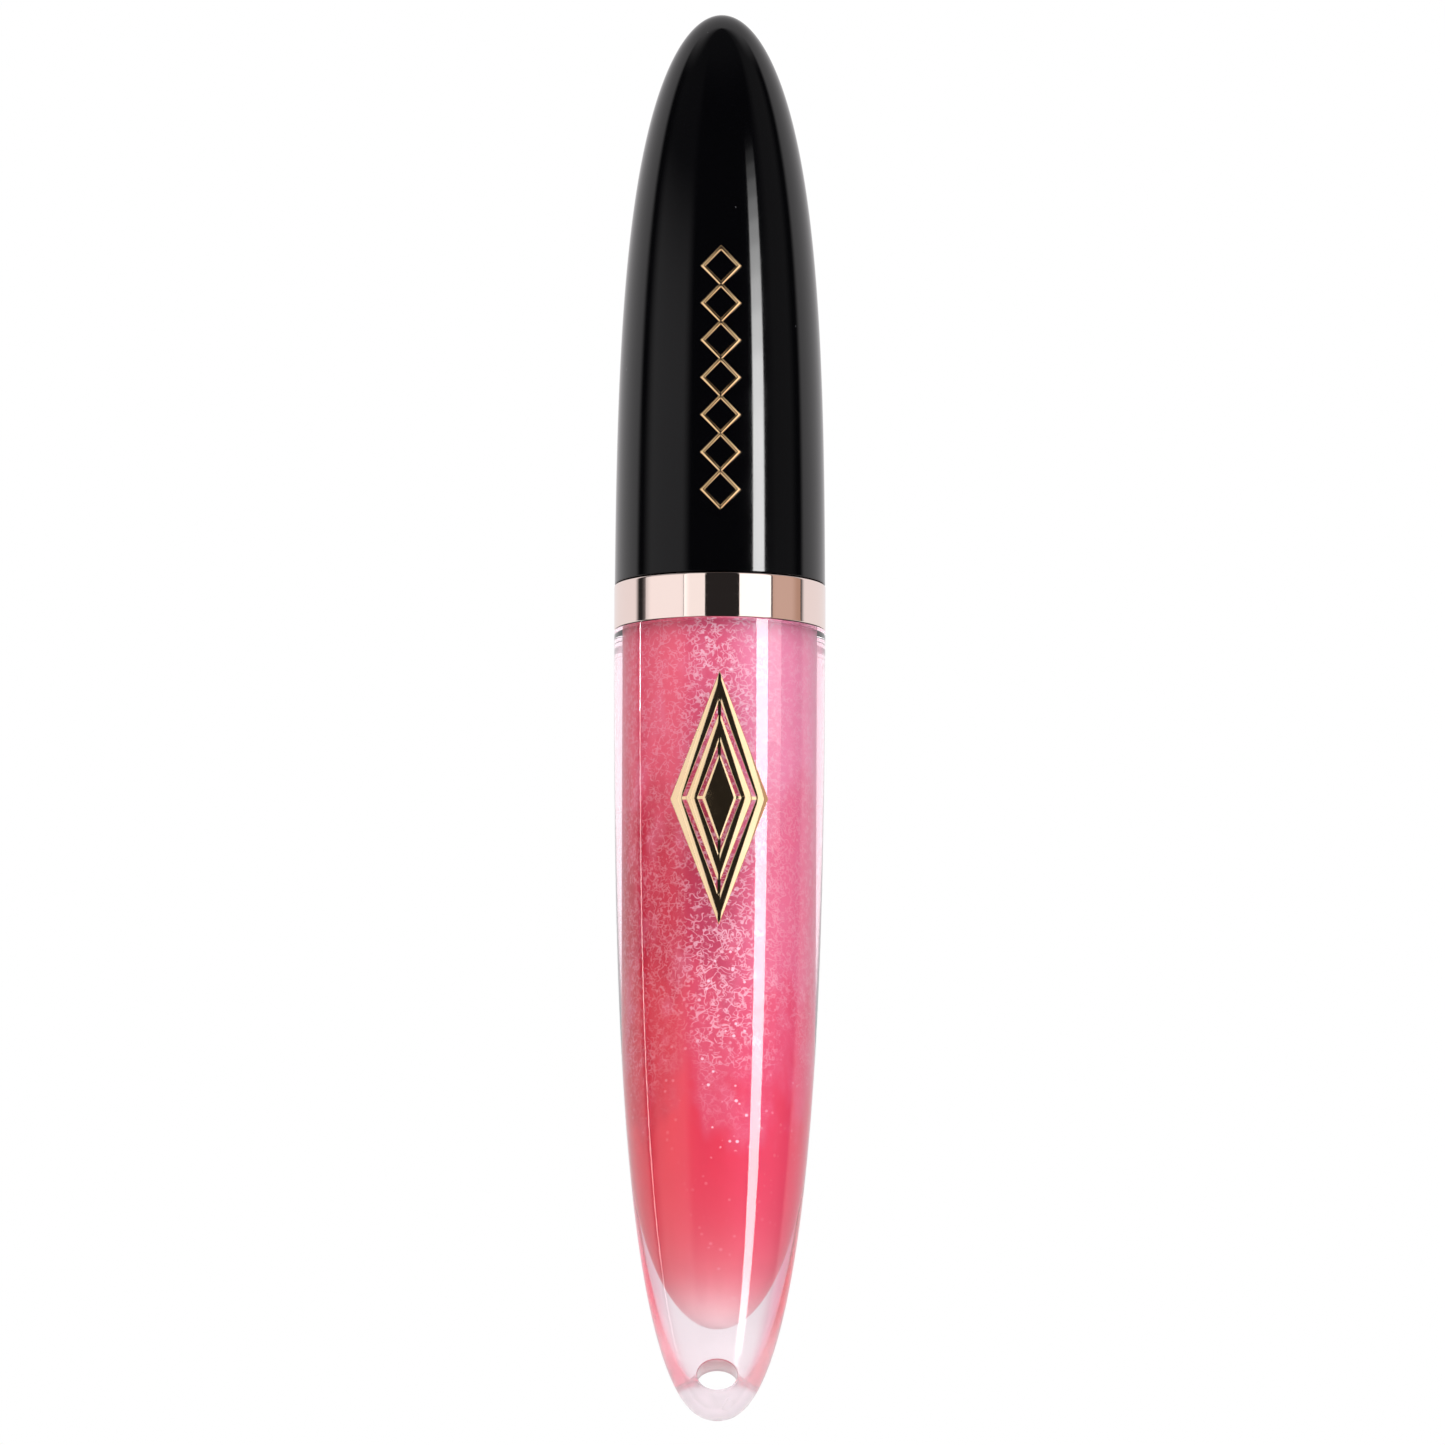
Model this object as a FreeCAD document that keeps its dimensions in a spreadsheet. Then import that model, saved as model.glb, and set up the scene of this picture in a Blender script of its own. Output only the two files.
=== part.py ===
"""A bullet-shaped lip gloss tube: a thick clear vial, a rose-gold screw neck with its collar, and a
tall cap that carries the wand. Millimetres, +Z from the vial's nose to the cap's tip, and the origin
at the nose on the tube's axis. The foil motifs and the wand's slanted face look along -Y."""

import FreeCAD, Part
import math
import os

import Sketcher

V = FreeCAD.Vector
RIGHT_WAY = V(1, 0, 0)
OGIVE_STEPS = 24
HELD = "sizes"

# ---------------------------------------------------------------- driving dimensions

SIZES = {
    # the whole tube
    "total_length": 127.5,
    "body_radius": 9.5,
    # outer ogives: the radius follows (1 - (1 - d / length) ** flank) ** (1 / nose), d from the pole
    "vial_ogive_length": 81.0,
    "vial_flank_power": 3.2,
    "vial_nose_power": 2.37,
    "cap_ogive_length": 79.0,
    "cap_flank_power": 4.6,
    "cap_nose_power": 2.0,
    # vial
    "vial_shoulder": 71.4,
    "spigot_radius": 6.6,
    "spigot_height": 2.8,
    "bore_radius": 5.5,
    "cavity_floor": 8.6,
    "cavity_ogive_length": 30.0,
    "cavity_flank_power": 2.6,
    "cavity_nose_power": 2.0,
    "gate_radius": 0.35,
    "gate_depth": 0.3,
    "eye_height": 3.7,
    "eye_width": 3.6,
    "eye_opening": 2.6,
    # collar and neck, one moulding
    "collar_height": 4.1,
    "seam_gap": 0.05,
    "slip_gap": 0.02,
    "plug_length": 2.3,
    "lower_step_radius": 5.9,
    "lower_step_height": 1.4,
    "upper_step_radius": 5.45,
    "upper_step_height": 2.0,
    "neck_radius": 5.15,
    "neck_height": 12.0,
    "neck_bore_radius": 3.95,
    "collar_edge_round": 0.15,
    "neck_edge_round": 0.4,
    # two-start thread, right-handed: round beads on the neck and in the cap
    "thread_lead": 4.9,
    "thread_start_height": 4.5,
    "neck_bead_radius": 0.58,
    "neck_bead_path": 5.35,
    "cap_bead_radius": 0.5,
    "cap_bead_path": 5.85,
    "bead_end_grow": 0.01,
    # wiper
    "wiper_flange_radius": 4.9,
    "wiper_flange_height": 0.5,
    "wiper_bore_radius": 3.3,
    "wiper_barrel_length": 5.2,
    "wiper_lip_length": 2.8,
    "wiper_lip_wall": 0.38,
    # wand
    "stem_radius": 2.1,
    "stem_top": 97.5,
    "stem_shoulder_radius": 2.9,
    "stem_shoulder_height": 0.6,
    "stem_end_round": 0.35,
    "tip_joint": 25.5,
    "tip_end": 12.0,
    "peg_radius": 1.25,
    "peg_length": 4.8,
    "core_radius": 1.9,
    "flock_radius": 2.55,
    "slant_depth": 3.45,
    "slant_length": 11.0,
    # gloss
    "gloss_gap": 0.03,
    "gloss_level": 71.85,
    "well_radius": 2.8,
    "well_floor": 11.3,
    # cap
    "cap_gap": 0.1,
    "cap_bore_radius": 8.0,
    "cap_bore_depth": 16.4,
    "cap_ledge_radius": 7.6,
    "cap_crown": 2.6,
    "cap_edge_round": 0.2,
    "liner_thickness": 0.96,
    "liner_radius": 5.0,
    "liner_hole_radius": 3.0,
    "insert_recess": 0.4,
    "insert_rim_height": 1.4,
    "insert_wall_radius": 7.2,
    "insert_bore_radius": 6.2,
    "insert_seat_radius": 5.3,
    "insert_seat_depth": 2.4,
    "insert_deck": 1.6,
    "insert_cup_radius": 7.1,
    "insert_hub_radius": 3.5,
    "insert_hub_height": 9.0,
    # foil motifs: tall lozenges, with lines and pitches in shares of a motif's half sizes
    "foil_lift": 0.01,
    "vial_foil_thickness": 0.08,
    "cap_foil_thickness": 0.15,
    "foil_margin": 1.0,
    "vial_motif_centre": 55.1,
    "vial_motif_height": 23.0,
    "vial_motif_width": 8.8,
    "vial_motif_line": 0.24,
    "vial_frame_pitch": 0.32,
    "vial_motif_bar": 0.3,
    "cap_motif_centre": 93.2,
    "cap_motif_width": 3.8,
    "cap_motif_line": 0.3,
    "cap_motif_pitch": 3.4,
    "cap_motif_count": 7,
    "cap_link_overlap": 0.5,
}


def ogive_radius(name, full_radius, distance):
    """The radius of the ogive called name, this far from its pole."""
    along = 1 - distance / SIZES[name + "_ogive_length"]
    share = 1 - max(along, 0.0) ** SIZES[name + "_flank_power"]
    return full_radius * share ** (1 / SIZES[name + "_nose_power"])


def derive(sizes):
    """The places that follow from the driving dimensions."""
    body = sizes["body_radius"]
    sizes["shoulder_radius"] = ogive_radius("vial", body, sizes["vial_shoulder"])
    sizes["spigot_top"] = sizes["vial_shoulder"] + sizes["spigot_height"]
    sizes["cavity_full"] = sizes["cavity_floor"] + sizes["cavity_ogive_length"]
    sizes["collar_foot"] = sizes["vial_shoulder"] + sizes["seam_gap"]
    sizes["collar_top"] = sizes["vial_shoulder"] + sizes["collar_height"]
    sizes["collar_ceiling"] = sizes["spigot_top"] + sizes["slip_gap"]
    sizes["collar_inner_radius"] = sizes["spigot_radius"] + sizes["slip_gap"]
    sizes["plug_radius"] = sizes["bore_radius"] - sizes["slip_gap"]
    sizes["plug_foot"] = sizes["collar_ceiling"] - sizes["plug_length"]
    sizes["lower_step_top"] = sizes["collar_top"] + sizes["lower_step_height"]
    sizes["upper_step_top"] = sizes["collar_top"] + sizes["upper_step_height"]
    sizes["neck_top"] = sizes["collar_top"] + sizes["neck_height"]
    sizes["neck_bead_start"] = sizes["collar_top"] + sizes["thread_start_height"]
    sizes["cap_bead_start"] = sizes["neck_bead_start"] - sizes["thread_lead"] / 4
    sizes["wiper_top"] = sizes["neck_top"] + sizes["wiper_flange_height"]
    sizes["wiper_radius"] = sizes["neck_bore_radius"] - sizes["slip_gap"]
    sizes["wiper_waist"] = sizes["neck_top"] - sizes["wiper_barrel_length"]
    sizes["wiper_foot"] = sizes["wiper_waist"] - sizes["wiper_lip_length"]
    sizes["lip_radius"] = sizes["stem_radius"] + sizes["slip_gap"]
    sizes["lip_outer_radius"] = sizes["lip_radius"] + sizes["wiper_lip_wall"]
    sizes["liner_foot"] = sizes["wiper_top"] + sizes["slip_gap"]
    sizes["liner_top"] = sizes["liner_foot"] + sizes["liner_thickness"]
    sizes["insert_ceiling"] = sizes["liner_top"] + sizes["slip_gap"]
    sizes["hub_bore_radius"] = sizes["stem_radius"] + sizes["slip_gap"]
    sizes["stem_shoulder_foot"] = sizes["insert_ceiling"] - sizes["stem_shoulder_height"]
    sizes["socket_radius"] = sizes["peg_radius"] + sizes["slip_gap"]
    sizes["peg_top"] = sizes["tip_joint"] + sizes["peg_length"]
    sizes["socket_top"] = sizes["peg_top"] + sizes["peg_radius"] / 4
    sizes["pile"] = sizes["flock_radius"] - sizes["core_radius"]
    sizes["core_end"] = sizes["tip_end"] + sizes["pile"]
    sizes["flock_dome"] = sizes["tip_end"] + sizes["flock_radius"]
    sizes["core_dome"] = sizes["core_end"] + sizes["core_radius"]
    sizes["slant_far"] = sizes["slant_depth"] - sizes["flock_radius"]
    sizes["slant_top"] = sizes["tip_end"] + sizes["slant_length"]
    sizes["well_dome"] = sizes["well_floor"] + sizes["well_radius"]
    sizes["gloss_radius"] = sizes["bore_radius"] - sizes["gloss_gap"]
    sizes["gloss_floor"] = sizes["cavity_floor"] + sizes["gloss_gap"]
    sizes["gloss_full"] = sizes["gloss_floor"] + sizes["cavity_ogive_length"]
    sizes["cap_base"] = sizes["collar_top"] + sizes["cap_gap"]
    sizes["cap_length"] = sizes["total_length"] - sizes["cap_base"]
    sizes["cap_base_radius"] = ogive_radius("cap", body, sizes["cap_length"])
    sizes["cap_ledge"] = sizes["cap_base"] + sizes["cap_bore_depth"]
    sizes["cap_inner_pole"] = sizes["total_length"] - sizes["cap_crown"]
    sizes["insert_foot"] = sizes["cap_base"] + sizes["insert_recess"]
    sizes["insert_foot_top"] = sizes["insert_foot"] + sizes["insert_rim_height"]
    sizes["insert_rim_radius"] = sizes["cap_bore_radius"] - sizes["slip_gap"]
    sizes["insert_top"] = sizes["cap_ledge"] - sizes["slip_gap"]
    sizes["insert_rim_foot"] = sizes["insert_top"] - sizes["insert_rim_height"]
    sizes["insert_seat_foot"] = sizes["insert_ceiling"] - sizes["insert_seat_depth"]
    sizes["insert_cone_foot"] = (
        sizes["insert_seat_foot"] + sizes["insert_seat_radius"] - sizes["insert_bore_radius"]
    )
    sizes["insert_cup_floor"] = sizes["insert_ceiling"] + sizes["insert_deck"]
    sizes["insert_hub_top"] = sizes["insert_ceiling"] + sizes["insert_hub_height"]
    sizes["cap_motif_height"] = sizes["cap_motif_pitch"] * sizes["cap_motif_count"]
    sizes["cap_link_height"] = sizes["cap_motif_pitch"] + sizes["cap_link_overlap"]
    half_chain = sizes["cap_motif_pitch"] * (sizes["cap_motif_count"] - 1) / 2
    sizes["cap_link_centre"] = sizes["cap_motif_centre"] - half_chain


derive(SIZES)

# ---------------------------------------------------------------- document and helpers

os.makedirs("parts", exist_ok=True)
document = FreeCAD.newDocument("lip_gloss_tube")


def make_sheet():
    """One spreadsheet row for each size: its name, and the number that carries the name as alias."""
    sheet = document.addObject("Spreadsheet::Sheet", HELD)
    for row, (name, number) in enumerate(SIZES.items(), start=1):
        sheet.set(f"A{row}", name)
        sheet.set(f"B{row}", f"{number:.6f}")
        sheet.setAlias(f"B{row}", name)
    document.recompute()
    return sheet


def cell(name):
    """The expression that reads a size from the sheet."""
    return f"{HELD}.{name}"


def origin_plane(body, role):
    return next(f for f in body.Origin.OriginFeatures if f.Role == role)


def blank_sketch(body, name, role):
    sketch = body.newObject("Sketcher::SketchObject", name)
    sketch.AttachmentSupport = [(origin_plane(body, role), "")]
    sketch.MapMode = "FlatFace"
    return sketch


def hold(sketch, kind, where, name):
    """A dimension in a sketch that takes its value from the sheet."""
    constraint = sketch.addConstraint(Sketcher.Constraint(kind, *where, SIZES[name]))
    sketch.setExpression(f"Constraints[{constraint}]", cell(name))


def hold_point(sketch, side, across, up):
    """Pins a side's start point to two sizes; None is the axis or the ground plane."""
    if across is None:
        sketch.addConstraint(Sketcher.Constraint("PointOnObject", side, 1, -2))
    else:
        hold(sketch, "DistanceX", (side, 1), across)
    if up is None:
        sketch.addConstraint(Sketcher.Constraint("PointOnObject", side, 1, -1))
    else:
        hold(sketch, "DistanceY", (side, 1), up)


def outline(sketch, corners, curves=()):
    """A closed outline. Each corner names its two sizes; curves maps a side's number to its curve."""
    curves = dict(curves)
    first = len(sketch.Geometry)
    places = [V(SIZES.get(across, 0), SIZES.get(up, 0), 0) for across, up in corners]
    for side, start in enumerate(places):
        end = places[(side + 1) % len(places)]
        sketch.addGeometry(curves.get(side) or Part.LineSegment(start, end))
    for side, (across, up) in enumerate(corners):
        before = (side - 1) % len(corners)
        sketch.addConstraint(Sketcher.Constraint("Coincident", first + before, 2, first + side, 1))
        hold_point(sketch, first + side, across, up)
        if isinstance(curves.get(side), Part.Arc):
            sketch.addConstraint(Sketcher.Constraint("PointOnObject", first + side, 3, -2))


def ogive_curve(name, full_radius, pole, way, reach, backwards=False):
    """A smooth curve from an ogive's pole on the axis to where it is reach away, up or down."""
    distances = [reach * (step / OGIVE_STEPS) ** 2 for step in range(OGIVE_STEPS + 1)]
    points = [V(ogive_radius(name, full_radius, d), pole + way * d, 0) for d in distances]
    flat_at_pole = [True] + [False] * OGIVE_STEPS
    tangent = RIGHT_WAY
    if backwards:
        points.reverse()
        flat_at_pole.reverse()
        tangent = -RIGHT_WAY
    curve = Part.BSplineCurve()
    curve.interpolate(Points=points, Tangents=[tangent] * len(points), TangentFlags=flat_at_pole)
    return curve


def quarter_round(radius, pole):
    """A quarter circle from the axis at pole, out and up to its full radius."""
    centre = V(0, pole + radius, 0)
    slant = radius * math.sqrt(0.5)
    return Part.Arc(V(0, pole, 0), centre + V(slant, -slant, 0), centre + V(radius, 0, 0))


def revolve(body, name, corners, curves=()):
    """A solid of revolution about the tube's axis."""
    sketch = blank_sketch(body, name + "_outline", "XZ_Plane")
    outline(sketch, corners, curves)
    feature = body.newObject("PartDesign::Revolution", name)
    feature.Profile = sketch
    feature.ReferenceAxis = (sketch, ["V_Axis"])
    feature.Angle = 360
    return feature


def rims(shape, places):
    """The names of the circular edges with these radii and heights."""
    found = []
    for number, edge in enumerate(shape.Edges, start=1):
        if edge.Degenerated or not isinstance(edge.Curve, Part.Circle):
            continue
        circle = edge.Curve
        for radius, height in places:
            same_radius = abs(circle.Radius - SIZES[radius]) < 1e-4
            if same_radius and abs(circle.Center.z - SIZES[height]) < 1e-4:
                found.append(f"Edge{number}")
    return sorted(set(found))


def round_rims(body, name, base, places, radius):
    """Rounds the circular edges of base at these places."""
    document.recompute()
    feature = body.newObject("PartDesign::Fillet", name)
    feature.Base = (base, rims(base.Shape, places))
    feature.setExpression("Radius", cell(radius))
    return feature


def pad_both_ways(body, name, sketch, kind="PartDesign::Pad"):
    """Pads or pockets a sketch both ways, past the whole tube."""
    feature = body.newObject(kind, name)
    feature.Profile = sketch
    feature.Type = "Length"
    feature.Midplane = True
    feature.setExpression("Length", f"{cell('body_radius')} * 4")
    return feature


def thread_beads(body, path, bead, start):
    """Two right-handed helical beads, half a turn apart and one turn long, with rounded ends."""
    for side, opposite in (("front", -1), ("back", 1)):
        sketch = blank_sketch(body, f"bead_{side}", "YZ_Plane")
        centre = V(opposite * SIZES[path], SIZES[start], 0)
        sketch.addGeometry(Part.Circle(centre, V(0, 0, 1), SIZES[bead]))
        reach = sketch.addConstraint(Sketcher.Constraint("DistanceX", 0, 3, centre.x))
        sketch.setExpression(f"Constraints[{reach}]", f"{opposite} * {cell(path)}")
        hold(sketch, "DistanceY", (0, 3), start)
        hold(sketch, "Radius", (0,), bead)
        helix = body.newObject("PartDesign::AdditiveHelix", f"thread_{side}")
        helix.Profile = sketch
        helix.ReferenceAxis = (sketch, ["V_Axis"])
        helix.Mode = 0
        helix.setExpression("Pitch", cell("thread_lead"))
        helix.setExpression("Height", cell("thread_lead"))
    for side, opposite in (("front", -1), ("back", 1)):
        for turn in (0, 1):
            ball = body.newObject("PartDesign::AdditiveSphere", f"thread_end_{side}_{turn}")
            ball.setExpression("Radius", f"{cell(bead)} + {cell('bead_end_grow')}")
            ball.Placement = FreeCAD.Placement(V(0, 0, 0), FreeCAD.Rotation(RIGHT_WAY, 90))
            ball.setExpression("Placement.Base.y", f"{opposite} * {cell(path)}")
            ball.setExpression("Placement.Base.z", f"{cell(start)} + {turn} * {cell('thread_lead')}")


def new_body(label):
    body = document.addObject("PartDesign::Body", label)
    body.Label = label
    return body


# ---------------------------------------------------------------- vial side


def vial_body():
    """Thick clear vial: ogive nose, open top with a spigot for the collar, and an eye in the nose."""
    body = new_body("vial_body")
    full = SIZES["body_radius"]
    corners = [
        (None, None),
        ("shoulder_radius", "vial_shoulder"),
        ("spigot_radius", "vial_shoulder"),
        ("spigot_radius", "spigot_top"),
        ("bore_radius", "spigot_top"),
        ("bore_radius", "cavity_full"),
        (None, "cavity_floor"),
    ]
    outside = ogive_curve("vial", full, 0, 1, SIZES["vial_shoulder"])
    inside = ogive_curve(
        "cavity",
        SIZES["bore_radius"],
        SIZES["cavity_floor"],
        1,
        SIZES["cavity_ogive_length"],
        backwards=True,
    )
    revolve(body, "wall", corners, {0: outside, 5: inside})

    eye = blank_sketch(body, "eye_outline", "XZ_Plane")
    centre = V(0, SIZES["eye_height"], 0)
    wide = V(SIZES["eye_width"] / 2, 0, 0)
    high = V(0, SIZES["eye_opening"] / 2, 0)
    eye.addGeometry(Part.Ellipse(centre + wide, centre + high, centre))
    eye.exposeInternalGeometry(0)
    eye.addConstraint(Sketcher.Constraint("PointOnObject", 0, 3, -2))
    eye.addConstraint(Sketcher.Constraint("Horizontal", 1))
    hold(eye, "DistanceY", (0, 3), "eye_height")
    hold(eye, "Distance", (1,), "eye_width")
    hold(eye, "Distance", (2,), "eye_opening")
    pad_both_ways(body, "eye", eye, "PartDesign::Pocket")

    gate = blank_sketch(body, "gate_outline", "XY_Plane")
    gate.addGeometry(Part.Circle(V(0, 0, 0), V(0, 0, 1), SIZES["gate_radius"]))
    gate.addConstraint(Sketcher.Constraint("Coincident", 0, 3, -1, 1))
    hold(gate, "Radius", (0,), "gate_radius")
    dimple = body.newObject("PartDesign::Pocket", "gate_dimple")
    dimple.Profile = gate
    dimple.Reversed = True
    dimple.setExpression("Length", cell("gate_depth"))
    return body


def neck_collar():
    """Collar band over the vial's spigot, in one piece with the stepped, threaded neck."""
    body = new_body("neck_collar")
    corners = [
        ("neck_bore_radius", "plug_foot"),
        ("plug_radius", "plug_foot"),
        ("plug_radius", "collar_ceiling"),
        ("collar_inner_radius", "collar_ceiling"),
        ("collar_inner_radius", "collar_foot"),
        ("body_radius", "collar_foot"),
        ("body_radius", "collar_top"),
        ("lower_step_radius", "collar_top"),
        ("lower_step_radius", "lower_step_top"),
        ("upper_step_radius", "lower_step_top"),
        ("upper_step_radius", "upper_step_top"),
        ("neck_radius", "upper_step_top"),
        ("neck_radius", "neck_top"),
        ("neck_bore_radius", "neck_top"),
    ]
    shell = revolve(body, "shell", corners)
    edges = [("body_radius", "collar_foot"), ("body_radius", "collar_top")]
    edges.append(("lower_step_radius", "lower_step_top"))
    band = round_rims(body, "band_edges", shell, edges, "collar_edge_round")
    round_rims(body, "mouth_edge", band, [("neck_radius", "neck_top")], "neck_edge_round")
    thread_beads(body, "neck_bead_path", "neck_bead_radius", "neck_bead_start")
    return body


def wiper():
    """Soft wiper: a flange on the neck's mouth, a barrel and a cone that closes round the stem."""
    body = new_body("wiper")
    corners = [
        ("lip_radius", "wiper_foot"),
        ("lip_outer_radius", "wiper_foot"),
        ("wiper_radius", "wiper_waist"),
        ("wiper_radius", "neck_top"),
        ("wiper_flange_radius", "neck_top"),
        ("wiper_flange_radius", "wiper_top"),
        ("wiper_bore_radius", "wiper_top"),
        ("wiper_bore_radius", "wiper_waist"),
    ]
    revolve(body, "sleeve", corners)
    return body


def gloss_fill():
    """The gloss: it fills the cavity up to the collar, with a well where the wand goes."""
    body = new_body("gloss_fill")
    corners = [
        (None, "well_floor"),
        ("well_radius", "well_dome"),
        ("well_radius", "gloss_level"),
        ("gloss_radius", "gloss_level"),
        ("gloss_radius", "gloss_full"),
        (None, "gloss_floor"),
    ]
    well = quarter_round(SIZES["well_radius"], SIZES["well_floor"])
    outside = ogive_curve(
        "cavity",
        SIZES["gloss_radius"],
        SIZES["gloss_floor"],
        1,
        SIZES["cavity_ogive_length"],
        backwards=True,
    )
    revolve(body, "filling", corners, {0: well, 4: outside})
    return body


# ---------------------------------------------------------------- wand


def wand_stem():
    """Rod from the cap's hub to the applicator, with a shoulder under the cap's deck."""
    body = new_body("wand_stem")
    corners = [
        ("socket_radius", "tip_joint"),
        ("stem_radius", "tip_joint"),
        ("stem_radius", "stem_shoulder_foot"),
        ("stem_shoulder_radius", "stem_shoulder_foot"),
        ("stem_shoulder_radius", "insert_ceiling"),
        ("stem_radius", "insert_ceiling"),
        ("stem_radius", "stem_top"),
        (None, "stem_top"),
        (None, "socket_top"),
        ("socket_radius", "socket_top"),
    ]
    rod = revolve(body, "rod", corners)
    round_rims(body, "rod_end", rod, [("stem_radius", "tip_joint")], "stem_end_round")
    return body


def slant_cut(body, inward):
    """Cuts the applicator's slanted face, moved inward from the flock's own face by this expression."""
    sketch = blank_sketch(body, "slant_outline", "YZ_Plane")
    near, far = -SIZES["flock_radius"], SIZES["slant_far"]
    low, top = SIZES["tip_end"], SIZES["slant_top"]
    points = [V(near, top, 0), V(far, low, 0), V(near, low, 0)]
    for start, end in zip(points, points[1:] + points[:1]):
        sketch.addGeometry(Part.LineSegment(start, end))
    for side in range(3):
        sketch.addConstraint(Sketcher.Constraint("Coincident", (side - 1) % 3, 2, side, 1))
    sides = [
        ("DistanceX", 0, near, f"{inward} - {cell('flock_radius')}"),
        ("DistanceY", 0, top, cell("slant_top")),
        ("DistanceX", 1, far, f"{inward} + {cell('slant_far')}"),
        ("DistanceY", 1, low, cell("tip_end")),
        ("DistanceX", 2, near, f"-2 * {cell('flock_radius')}"),
        ("DistanceY", 2, low, cell("tip_end")),
    ]
    for kind, side, number, expression in sides:
        constraint = sketch.addConstraint(Sketcher.Constraint(kind, side, 1, number))
        sketch.setExpression(f"Constraints[{constraint}]", expression)
    pad_both_ways(body, "slant", sketch, "PartDesign::Pocket")


def applicator_core():
    """Flexible core of the doe-foot tip, with a peg that goes up into the stem."""
    body = new_body("applicator_core")
    corners = [
        (None, "core_end"),
        ("core_radius", "core_dome"),
        ("core_radius", "tip_joint"),
        ("peg_radius", "tip_joint"),
        ("peg_radius", "peg_top"),
        (None, "peg_top"),
    ]
    dome = quarter_round(SIZES["core_radius"], SIZES["core_end"])
    revolve(body, "core", corners, {0: dome})
    slant_cut(body, cell("pile"))
    return body


def applicator_flock(core):
    """Velvety pile over the whole core, with the slanted face that carries the gloss."""
    body = new_body("flock_blank")
    corners = [
        (None, "tip_end"),
        ("flock_radius", "flock_dome"),
        ("flock_radius", "tip_joint"),
        (None, "tip_joint"),
    ]
    dome = quarter_round(SIZES["flock_radius"], SIZES["tip_end"])
    revolve(body, "pile", corners, {0: dome})
    slant_cut(body, "0")
    cut = document.addObject("Part::Cut", "applicator_flock")
    cut.Base = body
    cut.Tool = core
    return cut


# ---------------------------------------------------------------- cap side


def cap_shell():
    """Tall glossy over-cap: an ogive outside, and a bore with a ledge that seats the insert."""
    body = new_body("cap_shell")
    corners = [
        ("cap_base_radius", "cap_base"),
        (None, "total_length"),
        (None, "cap_inner_pole"),
        ("cap_ledge_radius", "cap_ledge"),
        ("cap_bore_radius", "cap_ledge"),
        ("cap_bore_radius", "cap_base"),
    ]
    outside = ogive_curve(
        "cap", SIZES["body_radius"], SIZES["total_length"], -1, SIZES["cap_length"], backwards=True
    )
    depth = SIZES["cap_inner_pole"] - SIZES["cap_ledge"]
    unscaled = ogive_radius("cap", 1, depth)
    inside = ogive_curve("cap", SIZES["cap_ledge_radius"] / unscaled, SIZES["cap_inner_pole"], -1, depth)
    wall = revolve(body, "wall", corners, {0: outside, 2: inside})
    places = [("cap_base_radius", "cap_base"), ("cap_bore_radius", "cap_base")]
    round_rims(body, "mouth_edges", wall, places, "cap_edge_round")
    return body


def cap_insert():
    """Inner cap: threaded skirt, seat for the neck's mouth, and the hub that grips the stem."""
    body = new_body("cap_insert")
    corners = [
        ("insert_bore_radius", "insert_foot"),
        ("insert_rim_radius", "insert_foot"),
        ("insert_rim_radius", "insert_foot_top"),
        ("insert_wall_radius", "insert_foot_top"),
        ("insert_wall_radius", "insert_rim_foot"),
        ("insert_rim_radius", "insert_rim_foot"),
        ("insert_rim_radius", "insert_top"),
        ("insert_cup_radius", "insert_top"),
        ("insert_cup_radius", "insert_cup_floor"),
        ("insert_hub_radius", "insert_cup_floor"),
        ("insert_hub_radius", "insert_hub_top"),
        ("hub_bore_radius", "insert_hub_top"),
        ("hub_bore_radius", "insert_ceiling"),
        ("insert_seat_radius", "insert_ceiling"),
        ("insert_seat_radius", "insert_seat_foot"),
        ("insert_bore_radius", "insert_cone_foot"),
    ]
    revolve(body, "skirt", corners)
    thread_beads(body, "cap_bead_path", "cap_bead_radius", "cap_bead_start")
    return body


def seal_liner():
    """Soft washer between the wiper's flange and the insert's deck."""
    body = new_body("seal_liner")
    corners = [
        ("liner_hole_radius", "liner_foot"),
        ("liner_radius", "liner_foot"),
        ("liner_radius", "liner_top"),
        ("liner_hole_radius", "liner_top"),
    ]
    revolve(body, "washer", corners)
    return body


# ---------------------------------------------------------------- foil motifs


def motif_outline(sketch, centre, width, height, ways):
    """A closed polygon about centre. Each way is a corner, in shares of half the width and height."""
    first = len(sketch.Geometry)
    half_width = SIZES[width] / 2
    half_height = SIZES[height] / 2
    points = [V(across * half_width, SIZES[centre] + up * half_height, 0) for across, up in ways]
    for start, end in zip(points, points[1:] + points[:1]):
        sketch.addGeometry(Part.LineSegment(start, end))
    for number, (across, up) in enumerate(ways):
        side = first + number
        before = first + (number - 1) % len(ways)
        sketch.addConstraint(Sketcher.Constraint("Coincident", before, 2, side, 1))
        if across:
            reach = sketch.addConstraint(Sketcher.Constraint("DistanceX", side, 1, points[number].x))
            sketch.setExpression(f"Constraints[{reach}]", f"{across:.6f} * {cell(width)} / 2")
        else:
            sketch.addConstraint(Sketcher.Constraint("PointOnObject", side, 1, -2))
        reach = sketch.addConstraint(Sketcher.Constraint("DistanceY", side, 1, points[number].y))
        rise = f"{cell(centre)} + {up:.6f} * {cell(height)} / 2"
        sketch.setExpression(f"Constraints[{reach}]", rise)


def lozenge(share):
    """A rhombus, this share of a motif's size."""
    return [(share, 0), (0, share), (-share, 0), (0, -share)]


def bar(across, up):
    """A straight bar through the centre, reaching these shares each way."""
    return [(across, up), (-across, up), (-across, -up), (across, -up)]


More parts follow.
